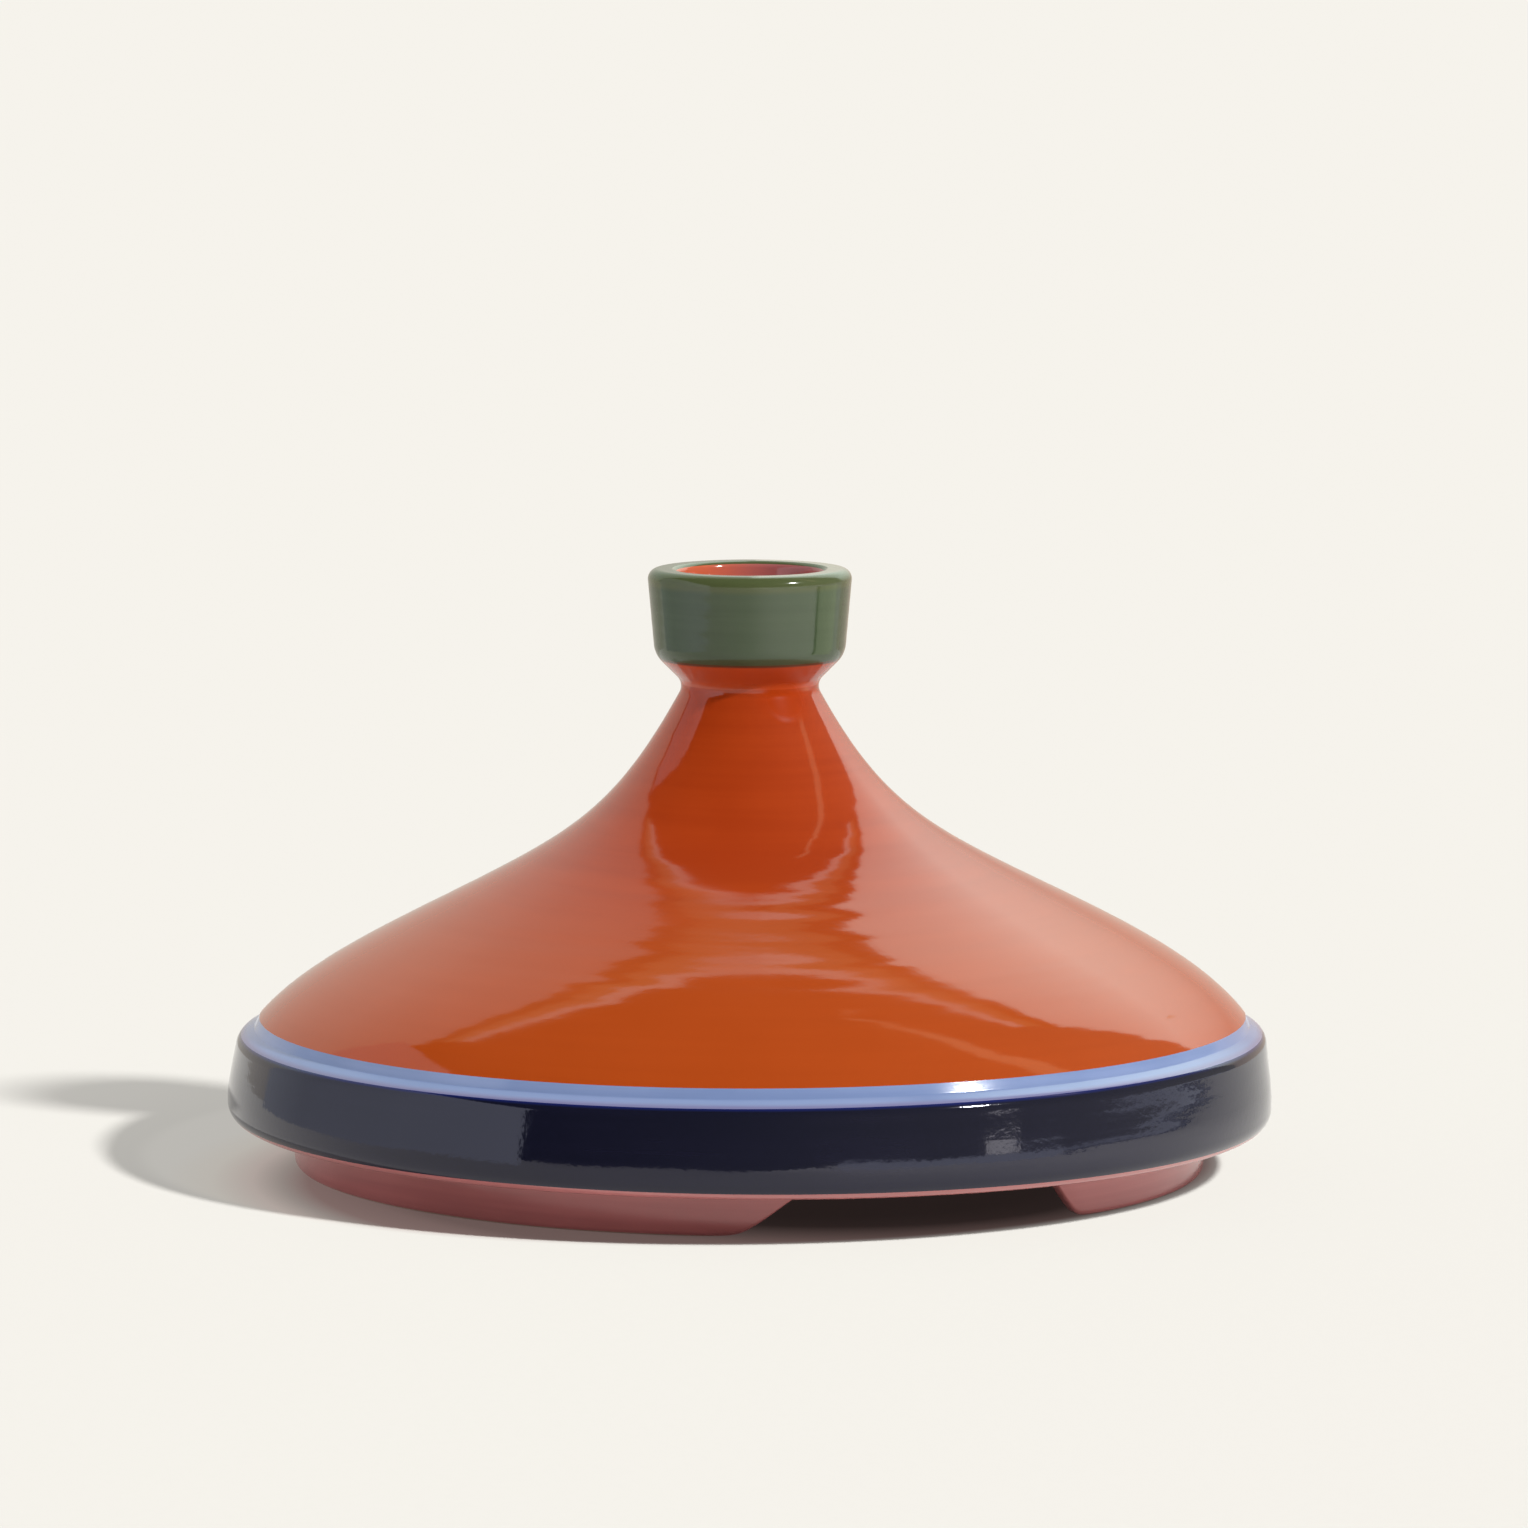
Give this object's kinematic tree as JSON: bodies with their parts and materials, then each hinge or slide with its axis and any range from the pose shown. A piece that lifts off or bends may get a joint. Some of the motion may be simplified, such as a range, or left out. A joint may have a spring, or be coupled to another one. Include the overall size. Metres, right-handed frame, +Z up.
{
  "type": "tagine lid",
  "caption": "Conical lid of a tagine in glazed stoneware, with a cup for a knob, a banded rim with a flat seat, and a notched skirt that drops inside a round pan.",
  "frame": {"origin": "centre of the skirt's foot, on the surface the lid stands on", "axes": "+Z up along the cone's axis; the notches in the skirt face -Y and +Y"},
  "size_m": [0.2852, 0.2852, 0.1634],
  "materials": {
    "green_glaze": "glossy olive green glaze",
    "orange_glaze": "glossy burnt orange glaze",
    "periwinkle_glaze": "glossy periwinkle glaze",
    "navy_glaze": "glossy near-black navy glaze",
    "pink_glaze": "satin dusty pink glaze"
  },
  "bodies": {
    "root": {"knob_cup": "green_glaze", "knob_collar": "orange_glaze", "cone_shell": "orange_glaze", "shoulder_ring": "periwinkle_glaze", "rim_band": "navy_glaze", "seat_ring": "pink_glaze", "skirt": "pink_glaze"}
  },
  "joints": []
}
